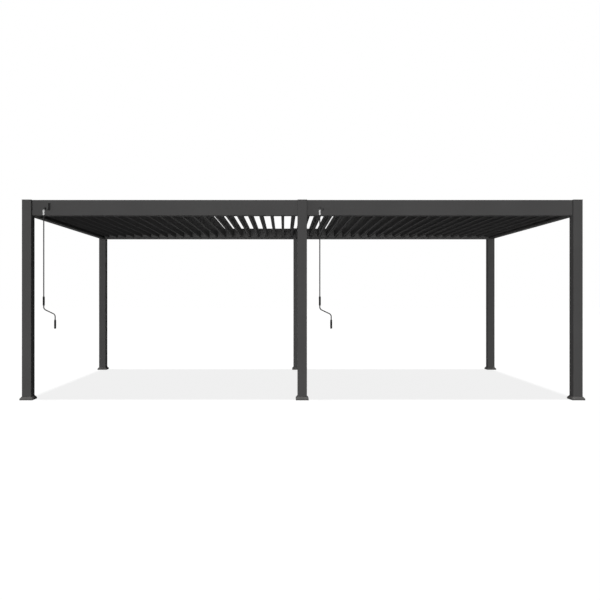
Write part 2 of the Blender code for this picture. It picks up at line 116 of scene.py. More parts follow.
# %% [markdown]
# ## Shader maths that reads like maths
#
# A procedural material is a graph: a noise feeds a sum, the sum feeds a colour mix, and so on.
# Written out node by node, even "one minus the mask" takes three lines. So one small class wraps
# a socket, and each sum or product written in Python adds the Math node that does it. Every
# operator has its mirrored form too, so that 1 - mask works as well as mask - 1. All other nodes
# come from one method, which takes the kind of node, its settings, and what goes into its sockets.

# %% Wires that can be added and multiplied
class Wire:
    """One output socket in a graph. Arithmetic on it adds Math nodes to that graph."""

    def __init__(self, graph, socket):
        self.graph = graph
        self.socket = socket

    def maths(self, operation, first, second):
        """Adds a Math node on two values, each a wire or a number."""
        sockets = {0: first, 1: second}
        return self.graph.node("ShaderNodeMath", {"operation": operation}, sockets)

    def __add__(self, other):
        return self.maths("ADD", self, other)

    def __radd__(self, other):
        return self.maths("ADD", other, self)

    def __sub__(self, other):
        return self.maths("SUBTRACT", self, other)

    def __rsub__(self, other):
        return self.maths("SUBTRACT", other, self)

    def __mul__(self, other):
        return self.maths("MULTIPLY", self, other)

    def __rmul__(self, other):
        return self.maths("MULTIPLY", other, self)

    def __gt__(self, other):
        return self.maths("GREATER_THAN", self, other)

    def __lt__(self, other):
        return self.maths("LESS_THAN", self, other)


print("wires can be added, subtracted, multiplied and compared")

# %% A graph that adds its own nodes
class Graph:
    """A tree of shader nodes, of a material or of the world."""

    def __init__(self, tree):
        self.tree = tree

    def node(self, kind, settings=None, sockets=None, output=0):
        """Adds a node, sets it up, fills its sockets and returns one of its outputs."""
        made = self.tree.nodes.new(kind)
        for name, value in (settings or {}).items():
            setattr(made, name, value)
        for name, value in (sockets or {}).items():
            self.plug(made.inputs[name], value)
        return Wire(self, made.outputs[output])

    def plug(self, socket, value):
        """Links a wire to the socket, or sets the socket to a plain value."""
        if isinstance(value, Wire):
            self.tree.links.new(value.socket, socket)
        else:
            socket.default_value = value

    def place(self):
        """Where a point lies on its own object, which at rest is its place in metres."""
        return self.node("ShaderNodeTexCoord", output="Object")

    def noise(self, place, scale, detail=2.0):
        """Soft noise from 0 to 1, with about this many bumps a metre."""
        sockets = {"Vector": place, "Scale": scale, "Detail": detail}
        return self.node("ShaderNodeTexNoise", None, sockets)

    def axis(self, vector, letter):
        """One coordinate of a vector: X, Y or Z."""
        return self.node("ShaderNodeSeparateXYZ", None, {"Vector": vector}, letter)

    def stretched(self, vector, factors):
        """The vector with each coordinate multiplied by its own factor."""
        sockets = {0: vector, 1: factors}
        return self.node("ShaderNodeVectorMath", {"operation": "MULTIPLY"}, sockets)

    def blend(self, amount, first, second):
        """Mixes two colours, each a wire or a red, green and blue."""
        colours = [c if isinstance(c, Wire) else (*c, 1.0) for c in (first, second)]
        sockets = {0: amount, 6: colours[0], 7: colours[1]}
        return self.node("ShaderNodeMix", {"data_type": "RGBA"}, sockets, 2)

    def ramp(self, value, low, high):
        """0 where the value is under low, 1 where it is over high, and straight in between."""
        sockets = {"Value": value, "From Min": low, "From Max": high}
        return self.node("ShaderNodeMapRange", {"clamp": True}, sockets)

    def bump(self, height, strength):
        """Tilts the surface as if it stood this many metres proud."""
        sockets = {"Strength": strength, "Distance": 1.0, "Height": height}
        return self.node("ShaderNodeBump", None, sockets)


print("a graph can add any node")

# %% A finish to start from
def new_finish(name, roughness, specular, metallic=0.0):
    """A material with these even values, its graph, and its shader's sockets."""
    made = bpy.data.materials.new(name)
    made.use_nodes = True
    sockets = made.node_tree.nodes["Principled BSDF"].inputs
    sockets["Roughness"].default_value = roughness
    sockets["Metallic"].default_value = metallic
    sockets["Specular IOR Level"].default_value = specular
    return made, Graph(made.node_tree), sockets


print("finishes can be started")

# %% [markdown]
# ## A white studio that stays honest
#
# The photograph shows the pergola on white, with only a faint grey shadow on the floor. Turning
# up the lamps until the floor burns out would wash out the dark coat too. So the world looks at
# the kind of ray that reaches it. A camera ray, or one mirrored in metal, sees white. All other
# rays meet a dim room, and only those light the pergola.

# %% Make the world
ROOM_LIGHT = 0.16


def seen_directly(graph):
    """1 for camera rays and for those that metal or glass sends on, otherwise 0."""
    kinds = ("Is Camera Ray", "Is Glossy Ray", "Is Transmission Ray")
    camera_ray, glossy_ray, glass_ray = (
        graph.node("ShaderNodeLightPath", output=kind) for kind in kinds
    )
    return (camera_ray + glossy_ray + glass_ray) > 0.5


world = bpy.data.worlds.new("studio")
world.use_nodes = True
bpy.context.scene.world = world
room = Graph(world.node_tree)
background = world.node_tree.nodes["Background"]
room.plug(background.inputs["Color"], (1.0, 1.0, 1.0, 1.0))
room.plug(background.inputs["Strength"], ROOM_LIGHT + (1.0 - ROOM_LIGHT) * seen_directly(room))
print("world strength", ROOM_LIGHT, "as light and 1 as a backdrop")

# %% [markdown]
# ## The floor
#
# The floor is one big sheet. Seen directly, it is mostly even white with some of its real
# shading mixed in, which is what lets the shadow under the roof show as pale grey. What it sends
# up to the blades is much less, as from a grey floor, because their undersides are nearly black
# in the photograph.

# %% Lay the floor
FLOOR_REACH = 60.0
FLOOR_SEEN = (0.80, 0.80, 0.80)
FLOOR_FELT = (0.10, 0.10, 0.10)
WHITE_SHARE = 0.851

floor_mesh = bpy.data.meshes.new("floor")
bm = bmesh.new()
bmesh.ops.create_grid(bm, x_segments=1, y_segments=1, size=FLOOR_REACH)
bm.to_mesh(floor_mesh)
bm.free()
floor = bpy.data.objects.new("floor", floor_mesh)
floor.visible_shadow = False
bpy.context.scene.collection.objects.link(floor)

floor_finish, floor_graph, floor_sockets = new_finish("studio_floor", roughness=1.0, specular=0.0)
direct = seen_directly(floor_graph)
floor_graph.plug(floor_sockets["Base Color"], floor_graph.blend(direct, FLOOR_FELT, FLOOR_SEEN))
shaded = Wire(floor_graph, floor_finish.node_tree.nodes["Principled BSDF"].outputs[0])
white = floor_graph.node("ShaderNodeEmission", None, {"Color": (1, 1, 1, 1), "Strength": 1.0})
mix_sockets = {0: direct * WHITE_SHARE, 1: shaded, 2: white}
mixed = floor_graph.node("ShaderNodeMixShader", None, mix_sockets)
floor_graph.plug(floor_finish.node_tree.nodes["Material Output"].inputs["Surface"], mixed)
floor_mesh.materials.append(floor_finish)
print("floor laid,", 2 * FLOOR_REACH, "m across")

# %% [markdown]
# ## Four lamps
#
# The photograph tells where its lamps stood. The faces that look at the camera are evenly lit,
# even the rear beam between two rows of blades, so a wide lamp stood close to the camera's own
# line of sight, and low. The faces that look left are about half as bright, and those that look
# right are nearly black, which takes a weaker lamp far to the left. Both fade a little across
# the pergola, so they are not suns but stand some eighty metres off. The front lamp shines up
# from below the floor's level, which it may, because the floor casts no shadow of its own.
#
# The grey patch on the floor lies straight under the roof with a crisp edge, so the third lamp
# is a small one right overhead. The fourth, straight behind, can't be seen at work in this
# picture, but without it the rear would be black when somebody walks around the pergola. It
# stays out of the gloss, because light from straight behind would skim along every side that the
# camera sees edge-on and make it shine.

# %% Hang the lamps
LAMP_AWAY = 80.0
FRONT_LAMP_TOWARDS = Vector((-0.06, -0.98, -0.15)).normalized()
FRONT_LAMP_SIZE = 34.0
FRONT_LAMP_WATTS = 54500.0
SIDE_LAMP_TOWARDS = Vector((-0.966, -0.259, 0.06)).normalized()
SIDE_LAMP_SIZE = 38.0
SIDE_LAMP_WATTS = 25500.0
BACK_LAMP_TOWARDS = Vector((0.03, 1.0, 0.0)).normalized()
BACK_LAMP_SIZE = 10.0
BACK_LAMP_WATTS = 36000.0
TOP_LAMP_STRENGTH = 4.0
TOP_LAMP_SPREAD_DEG = 3.0


def hang_lamp(name, kind, towards):
    """A lamp in this direction from the middle of the pergola, facing it."""
    data = bpy.data.lights.new(name, kind)
    lamp = bpy.data.objects.new(name, data)
    lamp.location = towards * LAMP_AWAY
    lamp.rotation_mode = "QUATERNION"
    lamp.rotation_quaternion = towards.to_track_quat("Z", "Y")
    bpy.context.scene.collection.objects.link(lamp)
    return lamp


def hang_disk(name, towards, size, watts):
    """A round, flat lamp of this size in metres."""
    lamp = hang_lamp(name, "AREA", towards)
    lamp.data.shape = "DISK"
    lamp.data.size = size
    lamp.data.energy = watts
    return lamp


front_lamp = hang_disk("front_lamp", FRONT_LAMP_TOWARDS, FRONT_LAMP_SIZE, FRONT_LAMP_WATTS)
side_lamp = hang_disk("side_lamp", SIDE_LAMP_TOWARDS, SIDE_LAMP_SIZE, SIDE_LAMP_WATTS)
back_lamp = hang_disk("back_lamp", BACK_LAMP_TOWARDS, BACK_LAMP_SIZE, BACK_LAMP_WATTS)
back_lamp.visible_glossy = False
top_lamp = hang_lamp("top_lamp", "SUN", Vector((0.0, 0.0, 1.0)))
top_lamp.data.energy = TOP_LAMP_STRENGTH
top_lamp.data.angle = math.radians(TOP_LAMP_SPREAD_DEG)
print("lamps:", [data.name for data in bpy.data.lights])

# %% [markdown]
# ## A flag under the blades
#
# The blades stand open, so the overhead lamp would draw forty-six stripes on the floor, and the
# photograph has one even patch. Photographers hang a black card, called a flag, between a lamp
# and what it should not reach. This one lies level on the gutters, inside the ring of beams. No
# camera or mirror sees it: only shadows do, and of the lamps it stops only the top one. The
# others list it as an object that doesn't block them.

# %% Hang the flag
FLAG_OVER_BEAM_FOOT = 0.021
FLAG_INSIDE_BEAM = 0.020

flag_mesh = bpy.data.meshes.new("flag")
bm = bmesh.new()
flag_half = (-gutter_low.x - FLAG_INSIDE_BEAM, gutter_high.y)
corners = [(-1, -1), (1, -1), (1, 1), (-1, 1)]
bm.faces.new([bm.verts.new((x * flag_half[0], y * flag_half[1], 0.0)) for x, y in corners])
bm.to_mesh(flag_mesh)
bm.free()
flag = bpy.data.objects.new("flag", flag_mesh)
flag.location.z = beam_foot + FLAG_OVER_BEAM_FOOT
flag.visible_camera = False
flag.visible_diffuse = False
flag.visible_glossy = False
flag.visible_transmission = False
bpy.context.scene.collection.objects.link(flag)

passed = bpy.data.collections.new("passed_by_low_lamps")
passed.objects.link(flag)
passed.collection_objects[0].light_linking.link_state = "EXCLUDE"
for lamp in (front_lamp, side_lamp, back_lamp):
    lamp.light_linking.blocker_collection = passed
print("flag", [round(2 * half, 3) for half in flag_half], "m")

# %% [markdown]
# ## Powder coat
#
# Posts, beams and blades are pressed aluminium bars with a baked anthracite powder. Close up
# such a coat is a fine orange peel, under which faint lines run along the bar from the die that
# it was pressed through. The peel is a small, fast noise in the bump. The lines are the same
# noise, drawn out a hundredfold along the bar. A slow noise shifts the tone by a few percent, as
# it varies over a long bar, and dust settles on what faces up. The foot covers of the posts are
# painted a shade paler than the columns: painted light, which stands in for the light from above
# on their sloped tops.
#
# The pattern is tied to each object's own coordinates, so it turns with a blade and never slides.

# %% The powder coat in numbers
ANTHRACITE_DEEP = (0.0560, 0.0552, 0.0552)
ANTHRACITE_PALE = (0.0680, 0.0671, 0.0668)
# The pale colour of dust on upward faces, and also the colour of the painted light on the foot
# covers.
DUST_AND_PAINTED_LIGHT = (0.155, 0.151, 0.145)
PEEL_PER_METRE = 620.0
LINES_PER_METRE = 240.0
CLOUDS_PER_METRE = 1.9
PATCHES_PER_METRE = 23.0
LINE_STRETCH = 0.01
PEEL_SHARE, LINE_SHARE, CLOUD_SHARE = 0.25, 0.30, 0.45
CLOUD_LIMITS = (0.3, 0.7)
PEEL_DEPTH = 0.00005
LINE_DEPTH = 0.00003
COAT_BUMP = 0.6
COAT_ROUGHNESS = 0.56
COAT_SWING = 0.10
COAT_SPECULAR = 0.003
UPWARD_LIMITS = (0.35, 0.95)
PATCH_LIMITS = (0.35, 0.75)
DUST_EVERYWHERE = 0.16
DUST_IN_PATCHES = 0.22
FOOT_COVER_TOP = 0.045
FOOT_COVER_MARGIN = 0.0005
# How far the foot covers are painted towards that pale colour: painted light for the light from
# above on their sloped tops.
FOOT_COVER_PAINTED_LIGHT = 0.22
print("peel", PEEL_PER_METRE, "and lines", LINES_PER_METRE, "bumps to the metre")

# %% Mix the powder coat
def powder_coat(name, bar_axis, dusty=True):
    """The coat on bars that lie along this axis: 0 for X, 1 for Y, 2 for the upright posts."""
    made, graph, sockets = new_finish(name, COAT_ROUGHNESS, specular=COAT_SPECULAR)
    place = graph.place()
    along = [1.0, 1.0, 1.0]
    along[bar_axis] = LINE_STRETCH
    peel = graph.noise(place, PEEL_PER_METRE)
    lines = graph.noise(graph.stretched(place, along), LINES_PER_METRE)
    cloud = graph.noise(place, CLOUDS_PER_METRE, detail=4.0)
    broad_tone = graph.ramp(cloud, *CLOUD_LIMITS)
    tone = PEEL_SHARE * peel + LINE_SHARE * lines + CLOUD_SHARE * broad_tone
    colour = graph.blend(tone, ANTHRACITE_DEEP, ANTHRACITE_PALE)
    if dusty:
        outward = graph.node("ShaderNodeTexCoord", output="Normal")
        upward = graph.ramp(graph.axis(outward, "Z"), *UPWARD_LIMITS)
        patches = graph.ramp(graph.noise(place, PATCHES_PER_METRE, detail=5.0), *PATCH_LIMITS)
        dustiness = upward * (DUST_EVERYWHERE + DUST_IN_PATCHES * patches)
        colour = graph.blend(dustiness, colour, DUST_AND_PAINTED_LIGHT)
    if bar_axis == 2:
        # Painted light: the foot covers are painted paler, standing in for the light from above on
        # their sloped tops.
        foot_cover = graph.axis(place, "Z") < FOOT_COVER_TOP + FOOT_COVER_MARGIN
        colour = graph.blend(foot_cover * FOOT_COVER_PAINTED_LIGHT, colour, DUST_AND_PAINTED_LIGHT)
    graph.plug(sockets["Base Color"], colour)
    graph.plug(sockets["Roughness"], COAT_ROUGHNESS - COAT_SWING / 2 + COAT_SWING * cloud)
    graph.plug(sockets["Normal"], graph.bump(peel * PEEL_DEPTH + lines * LINE_DEPTH, COAT_BUMP))
    return made, graph, sockets, colour


post_coat = powder_coat("powder_coat_posts", 2)[0]
side_beam_coat = powder_coat("powder_coat_side_beams", 1)[0]
rear_beam_coat = powder_coat("powder_coat_rear_beams", 0)[0]
blade_coat = powder_coat("powder_coat_blades", 1, dusty=False)[0]
print("powder coats mixed")

# %% [markdown]
# ## The front beams carry brackets
#
# Each crank hangs from a bracket with a latch beside it, and in the solid they are one piece
# with the beam. Their material can still differ by place. Whatever stands proud of the beam's
# front face belongs to them. Of that, the part beside the arm is the latch, moulded in a dark
# plastic, and the rest has the beam's own coat. Masks on the X and the Y coordinate find it. The
# right bay's latch is a plain block and less dark than the left one.

# %% Mix the front beam's coat
LATCH_GREY = (0.021, 0.021, 0.0215)
ARM_REACH = 0.036
LATCH_REACH = 0.075
LATCH_DARKNESS = {"left": 1.0, "right": 0.6}
PROUD_MARGIN = 0.0004

front_beam_coat, graph, sockets, coat_colour = powder_coat("powder_coat_front_beams", 0)
place = graph.place()
proud = graph.axis(place, "Y") < beam_face_y - PROUD_MARGIN
across = graph.axis(place, "X")
latch = 0.0
for bay in BAYS:
    axis_x = crank_axes[bay].x
    beside_arm = (across > axis_x + ARM_REACH) * (across < axis_x + LATCH_REACH)
    latch = beside_arm * LATCH_DARKNESS[bay] + latch
graph.plug(sockets["Base Color"], graph.blend(proud * latch, coat_colour, LATCH_GREY))
print("brackets stand proud of y", round(beam_face_y, 4))

# %% [markdown]
# ## Coat the bars
#
# A ready-made part keeps its shape and only gets another material in its slot. Which coat it
# gets depends on the way its bar lies, because of the lines.

# %% Give each bar its coat
COATS = {
    "louver": blade_coat, "front": front_beam_coat, "rear": rear_beam_coat,
    "side": side_beam_coat, "post": post_coat, "centre": post_coat,
}

coated = [name for name in nodes if not name.startswith("crank_")]
for name in coated:
    nodes[name].data.materials.clear()
    nodes[name].data.materials.append(COATS[name.split("_")[0]])
print(len(coated), "bars coated")

# %% [markdown]
# ## Plastic, rubber, steel and zinc
#
# The small parts have five other finishes. Moulded plastic is near black, with a faint cloudy
# gloss. The sleeves on the cranks are rubber: blacker, duller, and finely pitted. The rods are
# dark steel, brushed round and round as they were drawn. The joint under the bracket is cast
# zinc, pale and slightly grainy. The screw heads are zinc-plated and darker, with more gloss.
#
# Each could have a graph of its own, but they differ only in their colours and in how fine and
# how rough they are. So one function takes those numbers and builds all five.

# %% Mix the small finishes
STAINS_PER_METRE = 31.0
GRAIN_DEPTH = 0.00006
GRAIN_BUMP = 0.5
GRAINY_SWING = 0.12
ROUND_BRUSHED = (0.15, 0.15, 1.0)


def grainy_finish(name, deep, pale, grain, roughness, specular, metallic=0.0, stretch=None):
    """Fine grains, so many a metre, in tone and bump, and broad stains in tone and gloss."""
    made, graph, sockets = new_finish(name, roughness, specular, metallic)
    place = graph.place()
    fine = graph.noise(graph.stretched(place, stretch) if stretch else place, grain)
    broad = graph.noise(place, STAINS_PER_METRE, detail=4.0)
    tone = 0.5 * fine + 0.5 * graph.ramp(broad, *CLOUD_LIMITS)
    graph.plug(sockets["Base Color"], graph.blend(tone, deep, pale))
    graph.plug(sockets["Roughness"], roughness - GRAINY_SWING / 2 + GRAINY_SWING * broad)
    graph.plug(sockets["Normal"], graph.bump(fine * GRAIN_DEPTH, GRAIN_BUMP))
    return made


black_plastic = grainy_finish(
    "moulded_plastic", (0.010,) * 3, (0.016,) * 3, 900.0, 0.48, specular=0.06
)
black_rubber = grainy_finish(
    "sleeve_rubber", (0.0075,) * 3, (0.0115,) * 3, 1400.0, 0.72, specular=0.006
)
dark_steel = grainy_finish(
    "dark_steel", (0.026, 0.026, 0.0265), (0.036, 0.036, 0.0365), 1500.0, 0.45,
    specular=0.015, stretch=ROUND_BRUSHED,
)
cast_zinc = grainy_finish(
    "cast_zinc", (0.42, 0.42, 0.42), (0.54, 0.54, 0.535), 700.0, 0.50, metallic=0.10, specular=0.1
)
screw_zinc = grainy_finish(
    "screw_zinc", (0.055,) * 3, (0.095,) * 3, 1100.0, 0.40, metallic=0.3, specular=0.2
)
print("five small finishes mixed")

# %% [markdown]
# ## Turning small parts
#
# Screws, bushes, sleeves and joints are all round, as if turned on a lathe. So one helper spins
# a profile, given as (radius, height) points, into rings of vertices and joins them with quads.
# It works in a bmesh that may already hold other parts, which is how many screws become one
# object.

# %% A lathe
def lathe(bm, profile, place, sides=16, closed=False):
    """Spins a profile about local Z and sets it down with this matrix. closed makes it a ring."""
    rings = []
    for radius, height in profile:
        count = sides if radius > 0 else 1
        turns = [2 * math.pi * k / sides for k in range(count)]
        spots = [Vector((radius * math.cos(t), radius * math.sin(t), height)) for t in turns]
        rings.append([bm.verts.new(place @ spot) for spot in spots])
    pairs = list(zip(rings, rings[1:]))
    if closed:
        pairs.append((rings[-1], rings[0]))
    for lower, upper in pairs:
        for k in range(sides):
            n = (k + 1) % sides
            around = [lower[k % len(lower)], lower[n % len(lower)]]
            around += [upper[n % len(upper)], upper[k % len(upper)]]
            bm.faces.new(list(dict.fromkeys(around)))


print("lathe ready")

# %% Set a part down, and finish a piece
SHARP_FROM_DEG = 35


def facing(place, direction):
    """The matrix that sets a part at a place with its local Z along a direction."""
    turn = Vector(direction).to_track_quat("Z", "Y").to_matrix().to_4x4()
    return Matrix.Translation(place) @ turn


def make_piece(bm, name, body, finish):
    """Turns the bmesh into an object that rides on a body, smooth but for its sharp edges."""
    bmesh.ops.recalc_face_normals(bm, faces=bm.faces)
    mesh = bpy.data.meshes.new(name)
    bm.to_mesh(mesh)
    bm.free()
    mesh.materials.append(finish)
    mesh.shade_smooth()
    mesh.set_sharp_from_angle(angle=math.radians(SHARP_FROM_DEG))
    obj = bpy.data.objects.new(name, mesh)
    bpy.context.scene.collection.objects.link(obj)
    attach(obj, body)
    return obj


print("pieces are smooth, with sharp edges from", SHARP_FROM_DEG, "degrees")

# %% [markdown]
# ## Cover strips on the beams
#
# A slim aluminium strip snaps onto the outer top edge of every beam and brings it up level with
# the caps of the posts. Its outline is the same over its whole length. So the outline is filled
# as a face, and that face is pushed along the bar. Blender's own extrude could do it, but it adds
# the side walls in another order each time. A few lines that copy the face and wall in its rim
# give the same mesh on every run. The strips have the coat of their beams.

# %% Lay the cover strips
STRIP_WIDTH = 0.012
STRIP_EDGE = 0.0008
STRIP_SUNK = 0.0005
STRIP_END_GAP = 0.002


def push_faces(bm, faces, push):
    """Copies flat faces along a vector and walls in their rim, which makes a closed solid."""
    rim = [edge for face in faces for edge in face.edges if edge.is_boundary]
    near = dict.fromkeys(vert for face in faces for vert in face.verts)
    far = {vert: bm.verts.new(vert.co + Vector(push)) for vert in near}
    for face in faces:
        bm.faces.new([far[vert] for vert in face.verts])
    for edge in rim:
        first, second = edge.verts
        bm.faces.new((first, second, far[second], far[first]))


def pushed_outline(bm, ring, push):
    """Fills a ring of points as a face and pushes it along a vector, which makes a closed bar."""
    push_faces(bm, [bm.faces.new([bm.verts.new(spot) for spot in ring])], push)


strip_foot = beam_high.z - STRIP_SUNK
strip_top = post_high.z
strip_outline = [(0.0, strip_foot), (0.0, strip_top - STRIP_EDGE), (STRIP_EDGE, strip_top),
                 (STRIP_WIDTH - STRIP_EDGE, strip_top), (STRIP_WIDTH, strip_top - STRIP_EDGE),
                 (STRIP_WIDTH, strip_foot)]

bm = bmesh.new()
for node, outer_y in (("front_beam", beam_face_y), ("rear_beam", -beam_face_y)):
    for bay in BAYS:
        low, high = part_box(f"{node}_{bay}")
        start = low.x + STRIP_END_GAP
        inward = -math.copysign(1.0, outer_y)
        ring = [(start, outer_y + inward * x, z) for x, z in strip_outline]
        pushed_outline(bm, ring, (high.x - STRIP_END_GAP - start, 0.0, 0.0))
make_piece(bm, "cover_strips_long", "frame", rear_beam_coat)

side_start = gutter_low.y + STRIP_END_GAP
side_push = (0.0, gutter_high.y - STRIP_END_GAP - side_start, 0.0)
bm = bmesh.new()
for outer_x in (gutter_low.x, -gutter_low.x):
    inward = -math.copysign(1.0, outer_x)
    ring = [(outer_x + inward * x, side_start, z) for x, z in strip_outline]
    pushed_outline(bm, ring, side_push)
make_piece(bm, "cover_strips_side", "frame", side_beam_coat)
print("strips from", round(strip_foot, 4), "to", round(strip_top, 4), "m up")

# %% [markdown]
# ## A flashing on the centre beam
#
# The blades turn high over the beam between the bays, so on its own the beam would leave a slit
# beside the left bay's first blade. An upright strip of sheet closes it and keeps rain off the
# joint. It stands just outside the circle that this blade sweeps, and its foot lies on the beam.
# Its outline is a T upside down, pushed from one middle post to the other as the strips were.

# %% Stand the flashing up
PIVOT_OVER_CENTRE_BEAM = 0.0575
FLASHING_X = -0.0120
FLASHING_SHEET = 0.003
FLASHING_FOOT_HALF = 0.009
FLASHING_OVER_PIVOT = 0.027
FLASHING_SUNK = 0.0005

first_pivot = blade_pivots["louver_left_01"]
swing = max(math.hypot(v.co.x - first_pivot.x, v.co.z - first_pivot.z)
            for v in nodes["louver_left_01"].data.vertices)
sheet_half = FLASHING_SHEET / 2
foot_low = first_pivot.z - PIVOT_OVER_CENTRE_BEAM - FLASHING_SUNK
foot_high = foot_low + FLASHING_SHEET
web_high = first_pivot.z + FLASHING_OVER_PIVOT
flashing_outline = [(-FLASHING_FOOT_HALF, foot_low), (FLASHING_FOOT_HALF, foot_low),
                    (FLASHING_FOOT_HALF, foot_high), (sheet_half, foot_high),
                    (sheet_half, web_high), (-sheet_half, web_high), (-sheet_half, foot_high),
                    (-FLASHING_FOOT_HALF, foot_high)]
bm = bmesh.new()
pushed_outline(bm, [(FLASHING_X + x, side_start, z) for x, z in flashing_outline], side_push)
make_piece(bm, "centre_flashing", "frame", side_beam_coat)
print("flashing clears the blade's swing by",
      round(FLASHING_X - sheet_half - first_pivot.x - swing, 4), "m")

# %% [markdown]
# ## End caps on the blades
#
# A blade is a hollow bar. Each end is closed by a moulded plastic cap of the bar's own outline,
# held by two screws beside the pin. The cap's outline need not be drawn again: the end face of
# the solid has it, with the hole for the pin. That face is copied and pushed out by the cap's
# thickness, which stays thin: only six millimetres lie between a blade and the beams, and the
# blade needs most of that to turn freely.

# %% A blade's end face
CAP_THICKNESS = 0.0007
CAP_SCREW_OUT = 0.026
END_SCREW = [(0.0, 0.0001), (0.0012, 0.0001), (0.0012, 0.0003), (0.0024, 0.0003), (0.0032, 0.0),
             (0.0, -0.0002)]
PIN_REACH = 0.02
SAME_PLANE = 0.0001


def end_face_copy(bm, name, end):
    """Copies a blade's end face into the bmesh. end is -1 in front and 1 at the rear."""
    mesh = nodes[name].data
    pivot = blade_pivots[name]
    end_y = max(end * v.co.y for v in mesh.vertices
                if math.hypot(v.co.x - pivot.x, v.co.z - pivot.z) > PIN_REACH)
    copied = {}
    faces = []
    for polygon in mesh.polygons:
        spots = [mesh.vertices[i].co for i in polygon.vertices]
        if all(abs(end * spot.y - end_y) < SAME_PLANE for spot in spots):
            for i in polygon.vertices:
                if i not in copied:
                    copied[i] = bm.verts.new(mesh.vertices[i].co)
            faces.append(bm.faces.new([copied[i] for i in polygon.vertices]))
    return faces, end_y


bm = bmesh.new()
sample_faces, blade_end_y = end_face_copy(bm, "louver_left_01", 1)
bm.free()
print("blades end at y", round(blade_end_y, 4), "with", len(sample_faces), "end faces")

# %% Cap all the blades
def blade_caps(name):
    """Both end caps of one blade, each with its two screws, as one piece."""
    bm = bmesh.new()
    pivot = blade_pivots[name]
    for end in (-1, 1):
        faces, end_y = end_face_copy(bm, name, end)
        push_faces(bm, faces, (0.0, end * CAP_THICKNESS, 0.0))
        for side in (-1, 1):
            spot = Vector((pivot.x, end * (end_y + CAP_THICKNESS), pivot.z + side * CAP_SCREW_OUT))
            lathe(bm, END_SCREW, facing(spot, (0, end, 0)), sides=10)
    return make_piece(bm, name.replace("louver", "blade_caps"), name, black_plastic)


caps = [blade_caps(name) for bay in BAYS for name in blade_names[bay]]
print(len(caps), "pairs of end caps")

# %% [markdown]
# ## Bushes for the pins
#
# The pins don't turn in bare aluminium. Each runs in a plastic bush that is pressed into the
# beam, and its flange shows as a ring around the pin. A closed profile on the lathe makes a
# ring. All bushes of one beam are one object, since they never move.

# %% Press in the bushes
BUSH_BORE = 0.0056
BUSH_SUNK = 0.0003
BUSH_FLANGE = [(BUSH_BORE, 0.0), (BUSH_BORE, 0.0018), (0.0088, 0.0018), (0.0100, 0.0)]

wall_y = gutter_high.y
for end, end_name in ((-1, "front"), (1, "rear")):
    for bay in BAYS:
        bm = bmesh.new()
        for name in blade_names[bay]:
            pivot = blade_pivots[name]
            spot = Vector((pivot.x, end * (wall_y + BUSH_SUNK), pivot.z))
            lathe(bm, BUSH_FLANGE, facing(spot, (0, -end, 0)), sides=12, closed=True)
        make_piece(bm, f"bushes_{end_name}_{bay}", "frame", black_plastic)
print("bushes on", 2 * len(BAYS), "beams")

# %% [markdown]
# ## The crank's sizes
#
# A crank hangs from its bracket by a pale double joint, so that a hand can swing it outward and
# wind. Below the joint is a long straight rod, which jogs sideways near its foot: one hand holds
# the upper sleeve still while the other winds the lower one around it. Heights are in metres
# over the floor, and the throw is how far the jog goes.

# %% Read the crank's solid
JOINT_FOOT = 2.3690
UPPER_SLEEVE = (1.2130, 1.3300)
LOWER_SLEEVE = (0.9170, 1.0310)
JOG = (1.0980, 1.1680)
JOG_RADIUS = 0.042
ROD_RADIUS = 0.0072
FERRULE_RADIUS = 0.0106
FERRULE_HEIGHT = 0.0050
SLEEVE_RADIUS = 0.0131
SOLID_SLEEVE_RADIUS = 0.0125
SPINDLE_LENGTH = 0.015

crank_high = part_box("crank_left")[1]
throw = crank_high.x - SOLID_SLEEVE_RADIUS - crank_axes["left"].x
spindle_top = crank_high.z
joint_top = spindle_top - SPINDLE_LENGTH
print("throw", round(throw, 4), "m, joint", round(JOINT_FOOT, 4), "to", round(joint_top, 4))

# %% [markdown]
# ## The rod
#
# The rod is a circle swept along a path. The path has four corners, and each of the two inner
# ones is rounded by an arc of the bending tool's radius. Because the rod stays in one upright
# plane, its rings of vertices only need to lean by half of each bend. A curve object with a round
# bevel could be used as well, but it would have to be turned into a mesh before the turned parts
# can join it: the spindle that goes up into the bracket, and a dark ferrule at each end of the
# joint.

# %% A rounded path, and a sweep along it
def rounded_path(corners, radius, steps):
    """The corners as a path, with every inner one rounded by an arc."""
    path = [corners[0]]
    for before, corner, after in zip(corners, corners[1:], corners[2:]):
        back = (before - corner).normalized()
        on = (after - corner).normalized()
        half = back.angle(on) / 2
        centre = corner + (back + on).normalized() * radius / math.sin(half)
        start = corner + back * radius / math.tan(half) - centre
        end = corner + on * radius / math.tan(half) - centre
        spokes = [start.lerp(end, step / steps).normalized() for step in range(steps + 1)]
        path += [centre + spoke * radius for spoke in spokes]
    return path + [corners[-1]]


def sweep(bm, path, radius):
    """A round rod along a path that stays in one XZ plane, closed at both ends."""
    sides = 16
    rings = []
    for k, spot in enumerate(path):
        run = (path[min(k + 1, len(path) - 1)] - path[max(k - 1, 0)]).normalized()
        across = run.cross(Vector((0, 1, 0)))
        turns = [2 * math.pi * s / sides for s in range(sides)]
        rings.append([
            bm.verts.new(spot + radius * (math.cos(t) * across + math.sin(t) * Vector((0, 1, 0))))
            for t in turns
        ])
    for lower, upper in zip(rings, rings[1:]):
        for s in range(sides):
            n = (s + 1) % sides
            bm.faces.new((lower[s], lower[n], upper[n], upper[s]))
    bm.faces.new(rings[0])
    bm.faces.new(rings[-1])


print("rods can be swept")

# %% Bend the rods
BEND_STEPS = 10
ROD_LAP = 0.004
TURNED_EDGE = 0.0008
SPINDLE_RADIUS = 0.0052
SPINDLE_TIP_RADIUS = 0.0045

spindle_foot = joint_top - ROD_LAP
spindle = [(0.0, spindle_foot), (SPINDLE_RADIUS, spindle_foot),
           (SPINDLE_RADIUS, spindle_top - TURNED_EDGE), (SPINDLE_TIP_RADIUS, spindle_top),
           (0.0, spindle_top)]


